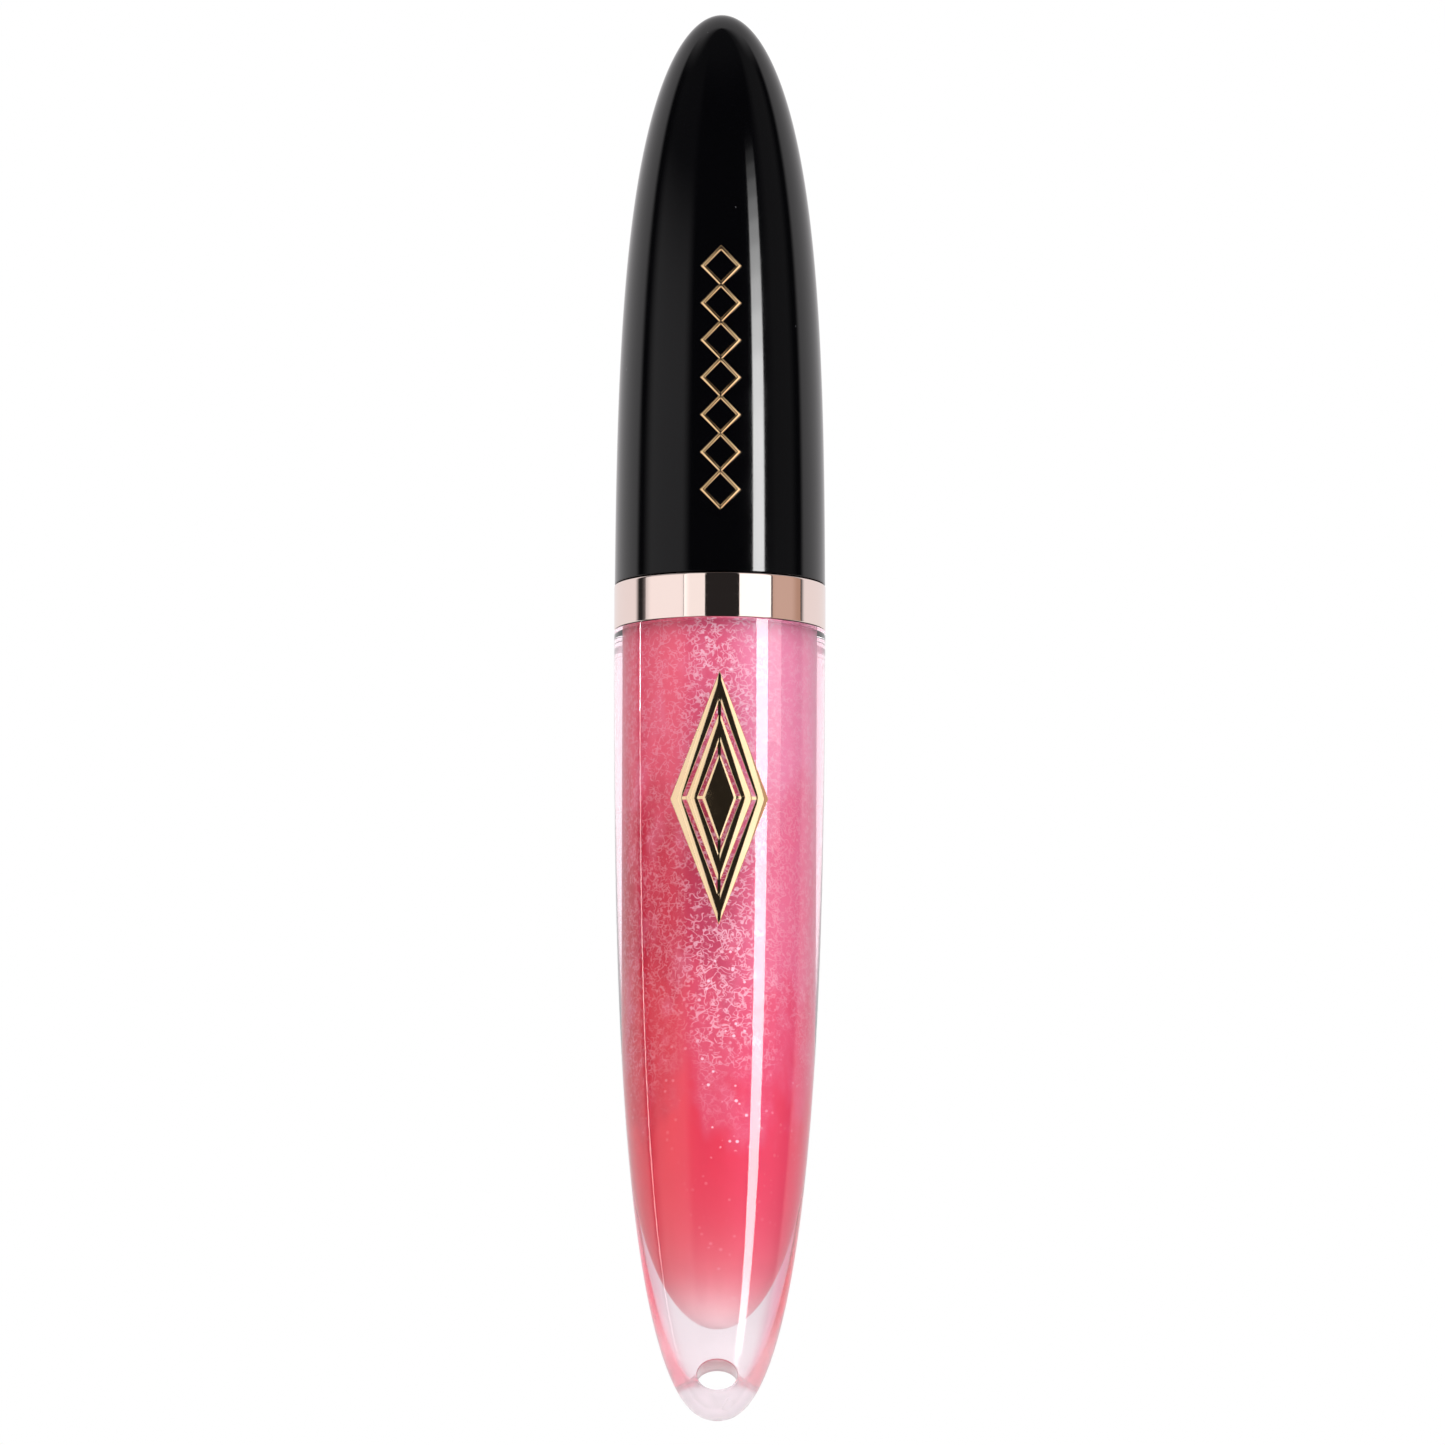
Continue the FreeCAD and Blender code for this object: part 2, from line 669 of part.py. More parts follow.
def foil_on(pattern, name, ogive, motif, pole, thickness):
    """The pattern's shadow on the front of an ogive, as a thin raised layer of even thickness."""
    reach = SIZES[motif + "_height"] / 2 + SIZES["foil_margin"]
    low = SIZES[motif + "_centre"] - reach
    heights = [low + 2 * reach * step / OGIVE_STEPS for step in range(OGIVE_STEPS + 1)]
    radii = [ogive_radius(ogive, SIZES["body_radius"], abs(height - pole)) for height in heights]
    edges = []
    for grow in (SIZES["foil_lift"], SIZES["foil_lift"] + SIZES[thickness]):
        curve = Part.BSplineCurve()
        curve.interpolate([V(radius + grow, 0, height) for radius, height in zip(radii, heights)])
        edges.append(curve.toShape())
    section = Part.makeRuledSurface(*edges)
    layer = document.addObject("Part::Feature", name + "_layer")
    layer.Shape = section.revolve(V(0, 0, 0), V(0, 0, 1), -180)
    foil = document.addObject("Part::Common", name)
    foil.Base = pattern
    foil.Tool = layer
    return foil


def vial_ornament():
    """Gold foil on the vial: two nested lozenge frames and a solid heart, tied by a slim cross."""
    body = new_body("vial_motif")
    sizes = ("vial_motif_centre", "vial_motif_width", "vial_motif_height")
    line = SIZES["vial_motif_line"]
    inner = 1 - SIZES["vial_frame_pitch"]
    heart = inner - SIZES["vial_frame_pitch"]
    reach = 1 - line / 2
    slim, low = (SIZES["vial_motif_bar"] / SIZES[size] for size in sizes[1:])
    shapes = {
        "outer_frame": (lozenge(1), lozenge(1 - line)),
        "inner_frame": (lozenge(inner), lozenge(inner - line)),
        "heart": (lozenge(heart),),
        "upright": (bar(slim, reach),),
        "crossbar": (bar(reach, low),),
    }
    for name, outlines in shapes.items():
        sketch = blank_sketch(body, name + "_outline", "XZ_Plane")
        for ways in outlines:
            motif_outline(sketch, *sizes, ways)
        pad_both_ways(body, name, sketch)
    return foil_on(body, "vial_ornament", "vial", "vial_motif", 0, "vial_foil_thickness")


def cap_ornament():
    """Raised rose-gold strip on the cap: a chain of open lozenges, tip to tip."""
    body = new_body("cap_motif")
    sizes = ("cap_link_centre", "cap_motif_width", "cap_link_height")
    link = blank_sketch(body, "link_outline", "XZ_Plane")
    motif_outline(link, *sizes, lozenge(1))
    motif_outline(link, *sizes, lozenge(1 - SIZES["cap_motif_line"]))
    pad = pad_both_ways(body, "link", link)
    chain = body.newObject("PartDesign::LinearPattern", "chain")
    chain.Originals = [pad]
    chain.Direction = (link, ["V_Axis"])
    chain.setExpression("Length", f"{cell('cap_motif_pitch')} * ({cell('cap_motif_count')} - 1)")
    chain.Occurrences = int(SIZES["cap_motif_count"])
    body.Tip = chain
    return foil_on(body, "cap_ornament", "cap", "cap_motif", SIZES["total_length"], "cap_foil_thickness")


# ---------------------------------------------------------------- build, check and write


def check(parts):
    """Stops if any object failed, or any sub-part isn't one whole, valid solid."""
    for item in document.Objects:
        if "Invalid" in item.State or "Error" in item.State:
            raise RuntimeError(f"{item.Name} failed: {item.State}")
    for part in parts:
        if part.Shape.isNull() or not part.Shape.isValid():
            raise RuntimeError(f"{part.Label} has no valid shape")
        if len(part.Shape.Solids) != 1:
            raise RuntimeError(f"{part.Label} is {len(part.Shape.Solids)} solids")


def main():
    make_sheet()
    core = applicator_core()
    parts = [
        vial_body(),
        neck_collar(),
        wiper(),
        gloss_fill(),
        wand_stem(),
        core,
        applicator_flock(core),
        cap_shell(),
        cap_insert(),
        seal_liner(),
        vial_ornament(),
        cap_ornament(),
    ]
    document.recompute()
    check(parts)
    for part in parts:
        part.Shape.exportStep(f"parts/{part.Label}.step")
        print(f"{part.Label}: {part.Shape.Volume:.2f} mm3")


main()
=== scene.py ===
"""The lip gloss tube's looks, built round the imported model. Profiles are in millimetres and meshes in
metres, in the part's own frame: +Z from the vial's nose to the cap's tip, -Y towards the foil motifs.
The studio's azimuths are in degrees from the camera's side, and grow to its right."""

import math

import bmesh
import bpy
import numpy as np
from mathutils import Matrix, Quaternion, Vector


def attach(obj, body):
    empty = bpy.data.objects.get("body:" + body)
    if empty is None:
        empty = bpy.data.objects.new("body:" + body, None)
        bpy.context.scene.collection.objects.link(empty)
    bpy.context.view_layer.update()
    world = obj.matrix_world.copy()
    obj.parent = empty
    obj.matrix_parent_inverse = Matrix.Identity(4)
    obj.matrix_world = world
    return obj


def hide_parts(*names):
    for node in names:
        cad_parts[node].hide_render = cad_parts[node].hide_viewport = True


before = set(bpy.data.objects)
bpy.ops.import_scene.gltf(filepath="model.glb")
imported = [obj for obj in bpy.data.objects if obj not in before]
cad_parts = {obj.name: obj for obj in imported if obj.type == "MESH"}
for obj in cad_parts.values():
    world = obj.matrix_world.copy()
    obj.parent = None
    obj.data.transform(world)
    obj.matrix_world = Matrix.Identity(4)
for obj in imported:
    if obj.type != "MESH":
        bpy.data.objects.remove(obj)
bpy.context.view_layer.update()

MM = 0.001
ROUND = 256

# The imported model's radii, and heights above the nose, in millimetres.
TOTAL, BODY = 127.5, 9.5
EYE_HEIGHT, EYE_ACROSS, EYE_UP = 3.7, 1.8, 1.3
SHOULDER, SPIGOT, SPIGOT_TOP = 71.4, 6.6, 74.2
BORE, CAVITY_FLOOR, CAVITY_LENGTH = 5.5, 8.6, 30.0
WELL, WELL_FLOOR = 2.8, 11.3
COLLAR_FOOT, COLLAR_TOP = 71.45, 75.5
NECK, NECK_BORE, NECK_TOP = 5.15, 3.95, 87.5
PLUG_FOOT, PLUG = 71.92, 5.48
WIPER_SLEEVE, WIPER_TOP = 3.93, 88.0
CAP_BASE, CAP_LEDGE, CAP_CROWN = 75.6, 92.0, 124.9
CAP_BORE, CAP_HOLLOW = 8.0, 7.6
INSERT_FOOT, INSERT_CEILING, INSERT_TOP = 76.0, 89.0, 91.98
INSERT_BORE, INSERT_RIM, INSERT_WALL = 6.2, 7.98, 7.2
STEM, STEM_FIT, STEM_BASE, STEM_TOP, STEM_BORE = 2.1, 2.12, 31.6, 97.5, 1.27
TIP, TIP_JOINT, TIP_END = 2.55, 25.5, 12.0
LEAD, NECK_START, CAP_START = 4.9, 80.0, 78.775

# An ogive's length, and how full its flank and its nose are.
VIAL_CURVE = (81.0, 3.2, 2.37)
CAP_CURVE = (79.0, 4.6, 2.0)
CAVITY_CURVE = (CAVITY_LENGTH, 2.6, 2.0)


def ogive(full, length, flank, nose, distance):
    """The radius of an ogive, this far from its pole."""
    along = np.clip(1 - np.asarray(distance, float) / length, 0, None)
    return full * np.clip(1 - along**flank, 0, None) ** (1 / nose)


def vial_radius(z):
    return ogive(BODY, *VIAL_CURVE, z)


def cap_radius(z):
    return ogive(BODY, *CAP_CURVE, TOTAL - z)


def cavity_radius(z):
    return ogive(BORE, *CAVITY_CURVE, z - CAVITY_FLOOR)


def cap_inner_radius(z):
    full = CAP_HOLLOW / ogive(1.0, *CAP_CURVE, CAP_CROWN - CAP_LEDGE)
    return ogive(full, *CAP_CURVE, CAP_CROWN - z)


# ---------------------------------------------------------------- mesh making


def from_pole(radius_at, pole, end, steps):
    """Points of an ogive's outline from its pole to end, close together near the pole."""
    heights = pole + (end - pole) * (np.arange(steps + 1) / steps) ** 2
    return [(float(radius_at(z)), float(z)) for z in heights]


def rounded(points, radius=0.12, steps=4):
    """The outline with a small round at each inner corner, and a support point beside each round."""
    made = [points[0]]
    for before, here, after in zip(points, points[1:], points[2:]):
        here = Vector(here)
        back, ahead = Vector(before) - here, Vector(after) - here
        reach = min(radius, back.length * 0.4, ahead.length * 0.4)
        start, end = here + back.normalized() * reach, here + ahead.normalized() * reach
        made.append(tuple(start + back.normalized() * reach * 0.3))
        for step in range(steps + 1):
            t = step / steps
            made.append(tuple(start * (1 - t) ** 2 + here * 2 * t * (1 - t) + end * t**2))
        made.append(tuple(end + ahead.normalized() * reach * 0.3))
    return made + [points[-1]]


def straight(start, end, pitch):
    """Points along a straight line, without its last."""
    steps = max(1, math.ceil(math.dist(start, end) / pitch))
    return [tuple(np.array(start) + (np.array(end) - start) * k / steps) for k in range(steps)]


def dense_at(radius, outline):
    """The outline without its last point, with its stretches at this radius cut fine for a thread."""
    made = []
    for here, after in zip(outline, outline[1:]):
        at_radius = abs(here[0] - radius) < 0.01 and abs(after[0] - radius) < 0.01
        made += straight(here, after, 0.07) if at_radius else [here]
    return made


def mesh_object(name, points, faces):
    """A smooth object from points in millimetres, with its faces turned outward."""
    mesh = bpy.data.meshes.new(name)
    mesh.from_pydata([tuple(p) for p in np.asarray(points, float) * MM], [], faces)
    mesh.validate()
    outward = bmesh.new()
    outward.from_mesh(mesh)
    bmesh.ops.recalc_face_normals(outward, faces=outward.faces)
    outward.to_mesh(mesh)
    outward.free()
    mesh.shade_smooth()
    made = bpy.data.objects.new(name, mesh)
    bpy.context.scene.collection.objects.link(made)
    return made


def lathe(name, outline, change=None, around=ROUND, closed=False):
    """Turns an outline of (radius, height) about the axis. One that starts and ends on the axis makes
    a whole solid, and a closed one makes a ring. change edits the points before they become a mesh."""
    angles = np.arange(around) * 2 * math.pi / around
    points, rows = [], []
    for radius, height in outline:
        if radius < 1e-6 and not closed:
            rows.append([len(points)] * around)
            points.append((0.0, 0.0, height))
            continue
        rows.append(list(range(len(points), len(points) + around)))
        points += [(radius * math.cos(a), radius * math.sin(a), height) for a in angles]
    points = np.array(points)
    if change is not None:
        points = change(points)
    if closed:
        rows.append(rows[0])
    faces = []
    for low, high in zip(rows, rows[1:]):
        for k in range(around):
            n = (k + 1) % around
            corners = list(dict.fromkeys((low[k], low[n], high[n], high[k])))
            if len(corners) > 2:
                faces.append(corners)
    return mesh_object(name, points, faces)


def thread(points, path, bead, start, inward=False):
    """Raises two helical beads, one turn long with round ends, on a turned surface."""
    radius = np.hypot(points[:, 0], points[:, 1])
    angle = np.arctan2(points[:, 1], points[:, 0])
    made = radius.copy()
    near = np.abs(radius - path) < 2 * bead
    for first in (-math.pi / 2, math.pi / 2):
        share = ((angle - first) / (2 * math.pi)) % 1
        for turn in (share - 1, share, share + 1):
            on = np.clip(turn, 0, 1)
            along = (turn - on) * 2 * math.pi * path
            left = bead**2 - (points[:, 2] - start - on * LEAD) ** 2 - along**2
            rise = np.sqrt(np.clip(left, 0, None))
            hit = near & (left > 0)
            if inward:
                made = np.where(hit, np.minimum(made, path - rise), made)
            else:
                made = np.where(hit, np.maximum(made, path + rise), made)
    points[:, :2] *= (made / np.maximum(radius, 1e-9))[:, None]
    return points


def joined(name, parts):
    """One object from several, and the parts are gone."""
    points, faces, count = [], [], 0
    for part in parts:
        points += [v.co / MM for v in part.data.vertices]
        faces += [[count + k for k in p.vertices] for p in part.data.polygons]
        count += len(part.data.vertices)
        bpy.data.objects.remove(part)
    return mesh_object(name, points, faces)


def cut(target, tool):
    """Takes the tool's solid out of the target's mesh for good."""
    boolean = target.modifiers.new("cut", "BOOLEAN")
    boolean.operation = "DIFFERENCE"
    boolean.solver = "EXACT"
    boolean.object = tool
    graph = bpy.context.evaluated_depsgraph_get()
    mesh = bpy.data.meshes.new_from_object(target.evaluated_get(graph))
    target.modifiers.remove(boolean)
    target.data = mesh
    bpy.data.objects.remove(tool)


# ---------------------------------------------------------------- materials


def rgb(red, green, blue):
    """A colour as screens give it, from 0 to 255, as the linear colour that shaders want."""
    shares = [level / 255 for level in (red, green, blue)]
    return [((c + 0.055) / 1.055) ** 2.4 if c > 0.04 else c / 12.92 for c in shares] + [1]


class Graph:
    """A node tree and short ways to add its nodes."""

    def __init__(self, tree):
        self.tree = tree

    def add(self, kind, **settings):
        node = self.tree.nodes.new(kind)
        for name, value in settings.items():
            if hasattr(node, name):
                setattr(node, name, value)
            else:
                node.inputs[name.replace("_", " ")].default_value = value
        return node

    def link(self, source, target):
        self.tree.links.new(source, target)

    def put(self, value, socket):
        """Links a socket's value, or sets a plain number or colour."""
        if isinstance(value, bpy.types.NodeSocket):
            self.link(value, socket)
        else:
            socket.default_value = value

    def math(self, operation, *values, clamp=False):
        node = self.add("ShaderNodeMath", operation=operation, use_clamp=clamp)
        for value, socket in zip(values, node.inputs):
            self.put(value, socket)
        return node.outputs[0]

    def product(self, *values):
        made = values[0]
        for value in values[1:]:
            made = self.math("MULTIPLY", made, value)
        return made

    def span(self, source, low, high, to_low=0.0, to_high=1.0):
        """Maps source from low..high smoothly to to_low..to_high, and no further."""
        node = self.add("ShaderNodeMapRange")
        node.interpolation_type = "SMOOTHSTEP"
        for value, socket in zip((source, low, high, to_low, to_high), node.inputs):
            self.put(value, socket)
        return node.outputs[0]


class Paint(Graph):
    """A material, the shader that its sockets set, and its patterns."""

    def __init__(self, name, **sockets):
        self.material = bpy.data.materials.new(name)
        self.material.use_nodes = True
        super().__init__(self.material.node_tree)
        self.shader = self.tree.nodes["Principled BSDF"]
        self.place = self.add("ShaderNodeTexCoord").outputs["Object"]
        for socket, value in sockets.items():
            self.shader.inputs[socket.replace("_", " ")].default_value = value

    def across_and_up(self):
        """Places across the front of the tube and up it, in millimetres."""
        split = self.add("ShaderNodeSeparateXYZ")
        self.link(self.place, split.inputs[0])
        return [self.math("MULTIPLY", split.outputs[axis], 1 / MM) for axis in "XZ"]

    def scaled(self, across, along=None):
        """The place on the tube, in steps of 1/across metres round it and 1/along metres up it."""
        node = self.add("ShaderNodeMapping")
        node.inputs["Scale"].default_value = (across, across, along or across)
        self.link(self.place, node.inputs["Vector"])
        return node.outputs[0]

    def noise(self, across, along=None, detail=2.0):
        node = self.add("ShaderNodeTexNoise", Scale=1.0, Detail=detail)
        self.link(self.scaled(across, along), node.inputs["Vector"])
        return node.outputs["Fac"]

    def cells(self, across):
        """Distance to the nearest of the points scattered 1/across metres apart."""
        node = self.add("ShaderNodeTexVoronoi", feature="F1", Scale=1.0)
        self.link(self.scaled(across), node.inputs["Vector"])
        return node.outputs["Distance"]

    def web(self, across, wander):
        """Distance to the nearest of the wavering lines that part cells 1/across metres wide."""
        place = self.scaled(across)
        push = self.add("ShaderNodeTexNoise", Scale=1.0, Detail=1.0)
        self.link(place, push.inputs["Vector"])
        moved = self.add("ShaderNodeVectorMath", operation="MULTIPLY_ADD")
        self.link(push.outputs["Color"], moved.inputs[0])
        moved.inputs[1].default_value = (wander, wander, wander)
        self.link(place, moved.inputs[2])
        node = self.add("ShaderNodeTexVoronoi", feature="DISTANCE_TO_EDGE", Scale=1.0)
        self.link(moved.outputs[0], node.inputs["Vector"])
        return node.outputs["Distance"]

    def mix(self, share, first, second):
        """A colour between two, each a colour or a socket."""
        node = self.add("ShaderNodeMix", data_type="RGBA")
        for socket, value in zip((0, 6, 7), (share, first, second)):
            self.put(value, node.inputs[socket])
        return node.outputs[2]

    def bump(self, source, distance, strength=1.0):
        node = self.add("ShaderNodeBump", Strength=strength, Distance=distance)
        self.link(source, node.inputs["Height"])
        self.link(node.outputs[0], self.shader.inputs["Normal"])

    def give(self, socket, source):
        self.link(source, self.shader.inputs[socket])


def clear_plastic():
    """Polished clear plastic, faintly hazed and softened through its solid nose, with the gloss's pink
    refraction painted inside the top of the eye."""
    paint = Paint("clear_plastic", IOR=1.57)
    across, height = paint.across_and_up()
    nose = paint.span(height, 5.0, 13.0, 1.0, 0.0)
    haze = paint.product(nose, paint.span(paint.noise(160), 0.3, 0.7, 0.16, 0.28))
    worn = paint.span(paint.noise(900, detail=3), 0.62, 0.8, 0.0, 0.03)
    paint.give("Roughness", paint.math("ADD", worn, paint.product(nose, 0.15)))
    above = paint.math("SUBTRACT", height, EYE_HEIGHT)
    sideways = paint.math("POWER", paint.math("DIVIDE", across, EYE_ACROSS), 2.0)
    upright = paint.math("POWER", paint.math("DIVIDE", above, EYE_UP), 2.0)
    tunnel = paint.span(paint.math("ADD", sideways, upright), 1.02, 1.15, 1.0, 0.0)
    # Painted pink refraction of the gloss above, in the top of the eye's tunnel; it also clouds the
    # plastic there.
    painted_refraction = paint.product(tunnel, paint.span(height, 3.9, 4.8))
    paint.give("Base Color", paint.mix(painted_refraction, rgb(249, 240, 245), rgb(205, 80, 105)))
    clouded = paint.math("MAXIMUM", haze, paint.product(painted_refraction, 0.6))
    paint.give("Transmission Weight", paint.math("SUBTRACT", 1.0, clouded))
    return paint.material


def gloss_paint():
    """Thick gloss: pearly mauve with a fine web of shimmer at the top, clear coral lower down, and
    fading to nearly white towards the cavity's floor, with painted light and shade from side to side."""
    paint = Paint("gloss_liquid", Specular_IOR_Level=0.1, Sheen_Weight=0.3, Sheen_Roughness=0.15)
    across, height = paint.across_and_up()
    cloud = paint.noise(260, 130, detail=3)
    drift = paint.math("ADD", height, paint.span(cloud, 0.3, 0.7, -4.0, 4.0))

    # From the foot up: where a band fades in, and its tones at the left, the middle and the right, which
    # carry painted light and shade, paler towards the light at the right.
    bands_with_painted_shade = (
        (None, rgb(238, 78, 92), rgb(226, 62, 88), rgb(242, 78, 110)),
        ((25.0, 31.0), rgb(222, 68, 84), rgb(226, 96, 124), rgb(242, 100, 136)),
        ((34.0, 43.0), rgb(206, 50, 74), rgb(198, 76, 106), rgb(244, 128, 162)),
        ((48.0, 62.0), rgb(238, 100, 126), rgb(224, 96, 130), rgb(250, 160, 194)),
    )
    for reach, left, middle, right in bands_with_painted_shade:
        # Each band's change from left to right is painted shade and light, paler towards the light at the
        # right.
        band = paint.mix(paint.span(across, -4.0, -0.8), left, middle)
        band = paint.mix(paint.span(across, -0.4, 3.4), band, right)
        colour = paint.mix(paint.span(drift, *reach), colour, band) if reach else band
    hazy = paint.span(paint.noise(420, 260, detail=3), 0.5, 0.72, 0.0, 0.3)
    hazy = paint.product(hazy, paint.span(drift, 24.0, 34.0))
    colour = paint.mix(hazy, colour, rgb(240, 150, 178))

    beside = paint.math("ABSOLUTE", paint.math("SUBTRACT", across, 0.8))
    amid = paint.product(paint.span(beside, 1.6, 4.2, 1.0, 0.35), paint.span(drift, 27.0, 38.0))
    curls = paint.span(paint.web(900, 2.6), 0.02, 0.07, 1.0, 0.0)
    curls = paint.product(curls, paint.span(paint.noise(1400, detail=1), 0.44, 0.52))
    fine = paint.span(paint.web(1500, 2.4), 0.03, 0.1, 1.0, 0.0)
    fine = paint.product(fine, paint.span(paint.noise(1300, detail=1), 0.42, 0.56, 0.0, 0.8))
    threads = paint.product(paint.math("MAXIMUM", curls, fine), amid)
    near = paint.product(
        paint.span(beside, 1.2, 3.6, 1.0, 0.2),
        paint.span(drift, 21.0, 31.0, 0.12, 1.0),
    )
    dots = paint.span(paint.cells(1500), 0.16, 0.26, 1.0, 0.0)
    dots = paint.product(dots, paint.span(paint.noise(700, detail=1), 0.5, 0.58), near)
    shimmer = paint.math("MAXIMUM", paint.product(threads, 0.7), dots)
    colour = paint.mix(shimmer, colour, rgb(255, 228, 240))
    # Fades towards nearly white over the few millimetres above the cavity's floor.
    foot = paint.math("POWER", 0.75, paint.math("SUBTRACT", height, CAVITY_FLOOR - 0.3), clamp=True)
    paint.give("Base Color", paint.mix(foot, colour, rgb(246, 222, 224)))
    paint.give("Roughness", paint.span(cloud, 0.3, 0.7, 0.3, 0.42))
    paint.bump(paint.math("ADD", shimmer, paint.noise(300)), 0.00004, 0.35)
    return paint.material


def rose_gold():
    """Plated mirror finish, with hair-fine rings and a faint bloom."""
    paint = Paint("rose_gold_plate", Metallic=1.0)
    paint.give("Base Color", paint.mix(paint.noise(120), rgb(244, 222, 214), rgb(247, 228, 221)))
    rings = paint.noise(40, 9000)
    paint.give("Roughness", paint.span(rings, 0.3, 0.75, 0.035, 0.075))
    paint.bump(rings, 0.000002, 0.25)
    return paint.material


def gold_foil(name, deep, pale):
    """Pressed metal foil with a fine grain."""
    paint = Paint(name, Metallic=1.0)
    grain = paint.noise(1400, detail=3)
    paint.give("Base Color", paint.mix(paint.noise(300), deep, pale))
    paint.give("Roughness", paint.span(grain, 0.3, 0.7, 0.07, 0.13))
    paint.bump(grain, 0.000004, 0.3)
    return paint.material


def piano_black():
    """High-gloss black with a little dust and hardly visible swirls."""
    paint = Paint("piano_black", Specular_IOR_Level=0.4)
    dust = paint.span(paint.cells(900), 0.045, 0.07, 1.0, 0.0)
    dust = paint.product(dust, paint.span(paint.noise(500), 0.62, 0.68))
    paint.give("Base Color", paint.mix(paint.product(dust, 0.25), rgb(2, 2, 3), rgb(120, 120, 124)))
    swirl = paint.span(paint.noise(220, 160, detail=4), 0.35, 0.7, 0.07, 0.1)
    paint.give("Roughness", paint.math("ADD", swirl, paint.product(dust, 0.2)))
    paint.bump(paint.noise(90, 60, detail=1), 0.000006, 0.3)
    return paint.material


def moulded_black():
    """Plain black plastic, as it leaves the mould."""
    paint = Paint("moulded_black")
    grain = paint.noise(2600, detail=3)
    paint.give("Base Color", paint.mix(grain, rgb(16, 16, 17), rgb(30, 30, 32)))
    paint.give("Roughness", paint.span(grain, 0.3, 0.7, 0.28, 0.42))
    paint.bump(grain, 0.00001, 0.4)
    return paint.material


def soft_plastic(name, low, high, grain_size, depth):
    """Soft, slightly translucent plastic or foam."""
    paint = Paint(name, Subsurface_Weight=0.25, Subsurface_Scale=0.0005)
    grain = paint.noise(grain_size, detail=3)
    paint.give("Base Color", paint.mix(grain, low, high))
    paint.give("Roughness", paint.span(grain, 0.3, 0.7, 0.38, 0.55))
    paint.bump(grain, depth, 0.4)
    return paint.material


def flock_paint():
    """Short pile soaked with gloss, darker and paler by clumps."""
    paint = Paint("flock_pile", Sheen_Weight=0.5, Sheen_Roughness=0.5)
    clump = paint.noise(1500, detail=3)
    paint.give("Base Color", paint.mix(clump, rgb(208, 66, 92), rgb(240, 138, 156)))
    paint.give("Roughness", paint.span(clump, 0.35, 0.7, 0.4, 0.8))
    paint.bump(paint.noise(5200), 0.00006, 0.6)
    return paint.material


# ---------------------------------------------------------------- the pieces


def finish_piece(piece, material, body, node):
    """Paints a piece, and puts it in the place of its CAD node on its body."""
    piece.data.materials.clear()
    piece.data.materials.append(material)
    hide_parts(node)
    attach(piece, body)
    return piece


def eye_tool():
    """The eye's tunnel, right through the nose along Y, flaring a little at both faces."""
    around, edge = 96, 0.16
    depths = [-1.2, -0.3] + [edge * (1 - math.cos(k * math.pi / 12)) for k in range(7)]
    rings = []
    for depth in depths:
        left = 1 - min(max(depth, 0.0), edge) / edge
        flare = edge * (1 - math.sqrt(max(0.0, 1 - left**2)))
        ring = []
        for k in range(around):
            angle = 2 * math.pi * k / around
            x = (EYE_ACROSS + flare) * math.cos(angle)
            z = EYE_HEIGHT + (EYE_UP + flare) * math.sin(angle)
            face = math.sqrt(max(float(vial_radius(z)) ** 2 - x * x, 0.01))
            ring.append((x, depth - face, z))
        rings.append(ring)
    rings += [[(x, -y, z) for x, y, z in ring] for ring in reversed(rings)]
    points = [p for ring in rings for p in ring]
    faces = [list(range(around - 1, -1, -1)), list(range(len(points) - around, len(points)))]
    for row in range(len(rings) - 1):
        for k in range(around):
            n = (k + 1) % around
            low, high = row * around, (row + 1) * around
            faces.append([low + k, low + n, high + n, high + k])
    return mesh_object("eye_tool", points, faces)


def make_vial():
    """The clear vial, with a soft-edged eye through its nose and a small gate dimple."""
    dimple = [(0.0, 0.27), (0.2, 0.26), (0.32, 0.2), (0.4, 0.06)]
    cavity_top = CAVITY_FLOOR + CAVITY_LENGTH
    skin = from_pole(vial_radius, 0.0, SHOULDER - 0.1, 120)
    corner = [skin[-1], (float(vial_radius(SHOULDER)), SHOULDER), (SPIGOT, SHOULDER)]
    corner += [(SPIGOT, SPIGOT_TOP), (BORE, SPIGOT_TOP), (BORE, cavity_top)]
    outline = dimple + [p for p in skin if p[0] > 0.45] + rounded(corner, 0.1)[1:-1]
    outline += list(reversed(from_pole(cavity_radius, CAVITY_FLOOR, cavity_top, 60)))
    vial = lathe("vial", outline)
    cut(vial, eye_tool())
    vial.data.shade_smooth()
    vial.data.set_sharp_from_angle(angle=math.radians(50))
    return finish_piece(vial, clear_plastic(), "vial", "vial_body")


def make_gloss():
    """The gloss. It wets the wall, so its skin lies just inside the plastic."""
    wet = 0.04
    wall, top = BORE + wet, CAVITY_FLOOR + CAVITY_LENGTH
    round_from = WELL_FLOOR + WELL
    outline = [(r + wet * (r > 0), z - wet) for r, z in from_pole(cavity_radius, CAVITY_FLOOR, top, 60)]
    outline += straight((wall, top), (wall, 71.6), 1.0)[1:]
    outline += [(wall, 71.7), (wall, 71.88), (BORE - 0.1, 71.88), (BORE - 0.4, 71.74), (4.2, 71.68)]
    outline += [(3.1, 71.74), (WELL + 0.04, 71.84), (WELL, 71.6)]
    outline += straight((WELL, 70.0), (WELL, round_from), 2.0)
    for angle in np.linspace(0, math.pi / 2, 16):
        outline.append((WELL * math.cos(angle), round_from - WELL * math.sin(angle)))
    outline[-1] = (0.0, WELL_FLOOR)
    return finish_piece(lathe("gloss", outline), gloss_paint(), "gloss", "gloss_fill")


